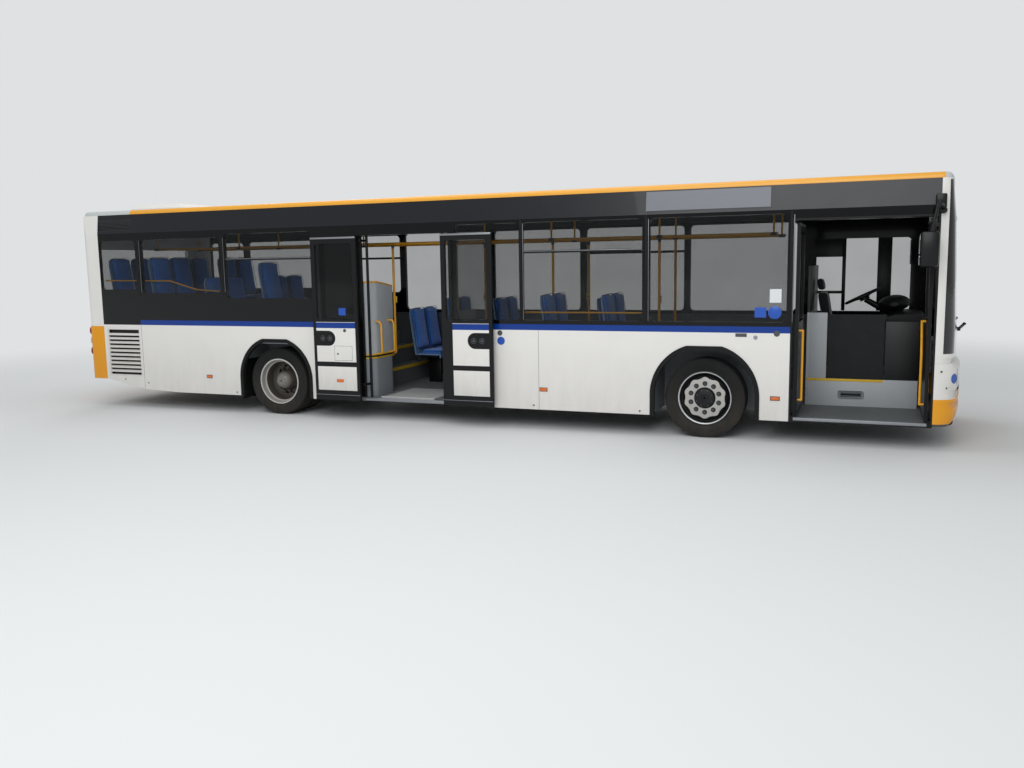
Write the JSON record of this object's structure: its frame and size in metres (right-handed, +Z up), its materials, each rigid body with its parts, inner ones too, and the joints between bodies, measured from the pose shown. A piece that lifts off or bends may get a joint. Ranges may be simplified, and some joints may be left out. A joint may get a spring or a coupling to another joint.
{
  "type": "low-entry city bus",
  "caption": "Low-entry single-deck city bus with open passenger doors, a stepped rear floor, twin rear tyres and a flat-fronted windscreen.",
  "frame": {"origin": "on the ground under the middle of the whole bus", "axes": "+X forward, +Y to the left of the bus, +Z up"},
  "size_m": [11.98, 3.12, 2.988],
  "materials": {
    "aluminium": "chequered aluminium",
    "band_paint": "gloss black window band",
    "black_metal": "black paint",
    "body_paint": "gloss white paint",
    "bumper": "orange yellow moulding",
    "cove_paint": "dark grey paint",
    "display": "dark display cover",
    "floor": "grey floor covering",
    "frame_steel": "underseal on steel",
    "front_paint": "painted moulding",
    "glass": "tinted safety glass",
    "grille": "painted slats",
    "handrail": "yellow powder coat",
    "lamp": "lamp lens",
    "rim": "painted steel",
    "roof_paint": "white roof with yellow edges",
    "rubber": "moulded rubber",
    "seat_fabric": "blue woven seat cover",
    "seat_shell": "grey seat shell",
    "trim_grey": "grey moulded lining",
    "tyre": "moulded tyre rubber"
  },
  "bodies": {
    "root": {"arch_trims": "rubber", "axles": "frame_steel", "cove_panels": "cove_paint", "dashboard": "trim_grey", "displays": "display", "door_frames": "black_metal", "driver_seat": "seat_shell", "engine": "frame_steel", "floor": "floor", "front_bumper": "bumper", "front_mask": "front_paint", "glazing": "glass", "grab_rails": "handrail", "grilles": "grille", "lamps": "lamp", "mirrors": "black_metal", "partitions": "trim_grey", "rear_bumper": "front_paint", "rear_wall": "front_paint", "roof": "roof_paint", "roof_dome": "roof_paint", "seat_frames": "seat_shell", "seat_pads": "seat_fabric", "side_panels": "body_paint", "underframe": "frame_steel", "wheel_boxes": "trim_grey", "window_bands": "band_paint", "wipers": "black_metal"},
    "knuckle_left": {"knuckle_left": "frame_steel"},
    "wheel_front_left": {"tyre_front_left": "tyre", "rim_front_left": "rim"},
    "wheel_rear_left": {"tyres_rear_left": "tyre", "rim_rear_left": "rim"},
    "knuckle_right": {"knuckle_right": "frame_steel"},
    "wheel_front_right": {"tyre_front_right": "tyre", "rim_front_right": "rim"},
    "wheel_rear_right": {"tyres_rear_right": "tyre", "rim_rear_right": "rim"},
    "mid_column_rear": {"mid_column_rear": "black_metal"},
    "mid_leaf_rear": {"mid_leaf_rear": "black_metal", "mid_leaf_rear_glass": "glass"},
    "mid_column_front": {"mid_column_front": "black_metal"},
    "mid_leaf_front": {"mid_leaf_front": "black_metal", "mid_leaf_front_glass": "glass"},
    "front_column_rear": {"front_column_rear": "black_metal"},
    "front_leaf_rear": {"front_leaf_rear": "black_metal", "front_leaf_rear_glass": "glass"},
    "front_column_front": {"front_column_front": "black_metal"},
    "front_leaf_front": {"front_leaf_front": "black_metal", "front_leaf_front_glass": "glass"},
    "ramp": {"ramp": "aluminium"},
    "engine_flap": {"engine_flap": "front_paint"},
    "cab_door": {"cab_door": "trim_grey"},
    "hatch_front": {"hatch_front": "roof_paint"},
    "hatch_rear": {"hatch_rear": "roof_paint"}
  },
  "joints": [
    {"name": "steer_left", "type": "hinge", "parent": "root", "child": "knuckle_left", "pos_m": [3.29, 0.93, 0.461], "axis": [0, 0, 1], "range_deg": [-42, 42]},
    {"name": "spin_front_left", "type": "hinge", "parent": "knuckle_left", "child": "wheel_front_left", "pos_m": [3.29, 1.05, 0.461], "axis": [0, 1, 0], "continuous": true},
    {"name": "spin_rear_left", "type": "hinge", "parent": "root", "child": "wheel_rear_left", "pos_m": [-2.585, 0.9, 0.461], "axis": [0, 1, 0], "continuous": true},
    {"name": "steer_right", "type": "hinge", "parent": "root", "child": "knuckle_right", "pos_m": [3.29, -0.93, 0.461], "axis": [0, 0, 1], "range_deg": [-42, 42]},
    {"name": "spin_front_right", "type": "hinge", "parent": "knuckle_right", "child": "wheel_front_right", "pos_m": [3.29, -1.05, 0.461], "axis": [0, 1, 0], "continuous": true},
    {"name": "spin_rear_right", "type": "hinge", "parent": "root", "child": "wheel_rear_right", "pos_m": [-2.585, -0.9, 0.461], "axis": [0, 1, 0], "continuous": true},
    {"name": "mid_column_rear_turn", "type": "hinge", "parent": "root", "child": "mid_column_rear", "pos_m": [-1.1125, -1.17396, 0.961], "axis": [0, 0, 1], "range_deg": [0, 154]},
    {"name": "mid_column_front_turn", "type": "hinge", "parent": "root", "child": "mid_column_front", "pos_m": [-0.0125, -1.17396, 0.961], "axis": [0, 0, -1], "range_deg": [0, 154]},
    {"name": "mid_leaf_rear_turn", "type": "hinge", "parent": "mid_column_rear", "child": "mid_leaf_rear", "pos_m": [-1.40155, -1.30265, 0.961], "axis": [0, 0, 1], "range_deg": [-154, 0]},
    {"name": "mid_leaf_front_turn", "type": "hinge", "parent": "mid_column_front", "child": "mid_leaf_front", "pos_m": [0.27655, -1.30265, 0.961], "axis": [0, 0, -1], "range_deg": [-154, 0]},
    {"name": "front_column_rear_turn", "type": "hinge", "parent": "root", "child": "front_column_rear", "pos_m": [4.215, -1.165, 0.961], "axis": [0, 0, -1], "range_deg": [0, 88.09]},
    {"name": "front_column_front_turn", "type": "hinge", "parent": "root", "child": "front_column_front", "pos_m": [5.683, -1.165, 0.961], "axis": [0, 0, 1], "range_deg": [0, 88.09]},
    {"name": "front_leaf_rear_turn", "type": "hinge", "parent": "front_column_rear", "child": "front_leaf_rear", "pos_m": [4.29, -0.83566, 0.961], "axis": [0, 0, -1], "range_deg": [-178.09, 0]},
    {"name": "front_leaf_front_turn", "type": "hinge", "parent": "front_column_front", "child": "front_leaf_front", "pos_m": [5.608, -0.83566, 0.961], "axis": [0, 0, 1], "range_deg": [-178.09, 0]},
    {"name": "ramp_turn", "type": "hinge", "parent": "root", "child": "ramp", "pos_m": [-0.5625, -1.195, 0.3133], "axis": [-1, 0, 0], "range_deg": [-200, 0]},
    {"name": "engine_flap_turn", "type": "hinge", "parent": "root", "child": "engine_flap", "pos_m": [-5.973, 0, 1.146], "axis": [0, 1, 0], "range_deg": [0, 80]},
    {"name": "cab_door_turn", "type": "hinge", "parent": "root", "child": "cab_door", "pos_m": [5.173, -0.235, 1], "axis": [0, 0, 1], "range_deg": [0, 85]},
    {"name": "hatch_front_turn", "type": "hinge", "parent": "root", "child": "hatch_front", "pos_m": [1.25, 0, 2.9273], "axis": [0, -1, 0], "range_deg": [0, 30]},
    {"name": "hatch_rear_turn", "type": "hinge", "parent": "root", "child": "hatch_rear", "pos_m": [-3.35, 0, 2.9273], "axis": [0, -1, 0], "range_deg": [0, 30]}
  ],
  "couplings": [
    {"joint": "steer_right", "follows": "steer_left", "ratio": 1},
    {"joint": "mid_column_front_turn", "follows": "mid_column_rear_turn", "ratio": 1},
    {"joint": "mid_leaf_rear_turn", "follows": "mid_column_rear_turn", "ratio": -1},
    {"joint": "mid_leaf_front_turn", "follows": "mid_column_rear_turn", "ratio": -1},
    {"joint": "front_column_front_turn", "follows": "front_column_rear_turn", "ratio": 1},
    {"joint": "front_leaf_rear_turn", "follows": "front_column_rear_turn", "ratio": -2.0216},
    {"joint": "front_leaf_front_turn", "follows": "front_column_rear_turn", "ratio": -2.0216}
  ]
}
